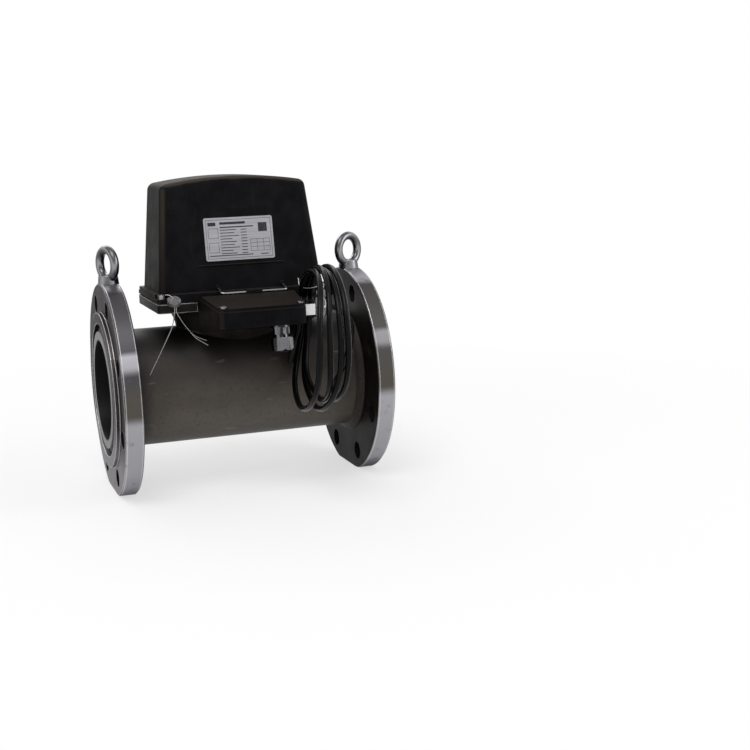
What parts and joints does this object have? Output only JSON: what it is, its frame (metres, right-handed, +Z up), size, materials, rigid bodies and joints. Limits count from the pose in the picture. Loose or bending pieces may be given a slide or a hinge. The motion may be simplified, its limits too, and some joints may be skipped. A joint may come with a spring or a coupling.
{
  "type": "ultrasonic gas meter",
  "caption": "Flanged pipe spool with an ultrasonic sensor head under a black hood, hinged terminal box, cable glands, lifting eyes and a coiled signal cable.",
  "frame": {"origin": "on the pipe's axis, half way between the two flange faces", "axes": "+X along the pipe towards the outlet, -Y to the front with the terminal box, +Z up through the hood"},
  "size_m": [0.282, 0.3067, 0.3109],
  "materials": {
    "pipe_paint": "dark grey-brown semi-matt paint",
    "turned_steel": "turned, bright on the rim and face, painted inside",
    "weld_steel": "painted weld bead",
    "zinc_steel": "zinc plated",
    "cast_paint": "grey-brown paint on a casting",
    "socket_steel": "machined",
    "transducer_steel": "machined",
    "seal_rubber": "matt",
    "wire_sheath": "smooth",
    "black_plastic": "fine textured",
    "plate_print": "printed, satin",
    "spring_steel": "drawn wire",
    "terminal_plastic": "moulded",
    "nickel_brass": "nickel plated",
    "plug_plastic": "moulded",
    "board_laminate": "solder resist",
    "standoff_brass": "machined",
    "tinned_steel": "tinned",
    "lead_metal": "dull soft metal",
    "cable_sheath": "smooth, half gloss"
  },
  "bodies": {
    "meter": {"base_screws": "zinc_steel", "base_tray": "cast_paint", "board_connector": "terminal_plastic", "board_harness": "wire_sheath", "board_screws": "zinc_steel", "board_shield": "tinned_steel", "board_standoffs": "standoff_brass", "box_screws": "zinc_steel", "cable_coil": "cable_sheath", "cable_cores": "wire_sheath", "cable_end_cap": "cable_sheath", "cable_lead": "cable_sheath", "circuit_board": "board_laminate", "coil_tie_wire": "spring_steel", "downstream_transducer": "transducer_steel", "flange_welds": "weld_steel", "hinge_wire": "spring_steel", "hood": "black_plastic", "hood_gasket": "seal_rubber", "hood_screws": "zinc_steel", "inlet_eye_bolt": "zinc_steel", "inlet_flange": "turned_steel", "left_lead_seal": "lead_metal", "left_seal_wire": "spring_steel", "lid_gasket": "seal_rubber", "lid_pillars": "standoff_brass", "lower_gland_body": "nickel_brass", "lower_gland_locknut": "nickel_brass", "lower_gland_nut": "nickel_brass", "lower_gland_plug": "plug_plastic", "lower_gland_seal": "seal_rubber", "meter_pipe": "pipe_paint", "nameplate": "plate_print", "outlet_eye_bolt": "zinc_steel", "outlet_flange": "turned_steel", "pedestal": "cast_paint", "right_lead_seal": "lead_metal", "side_gland_body": "nickel_brass", "side_gland_locknut": "nickel_brass", "side_gland_nut": "nickel_brass", "side_gland_seal": "seal_rubber", "terminal_block": "terminal_plastic", "terminal_box": "black_plastic", "terminal_clamps": "zinc_steel", "transducer_leads": "wire_sheath", "transducer_nuts": "socket_steel", "transducer_seals": "seal_rubber", "transducer_sockets": "socket_steel", "upstream_transducer": "transducer_steel"},
    "lid": {"terminal_lid": "black_plastic", "lid_screws": "zinc_steel"}
  },
  "joints": [
    {"name": "lid_hinge", "type": "hinge", "parent": "meter", "child": "lid", "pos_m": [0.0065, -0.06, 0.0955], "axis": [-1, 0, 0], "range_deg": [0, 110]}
  ]
}
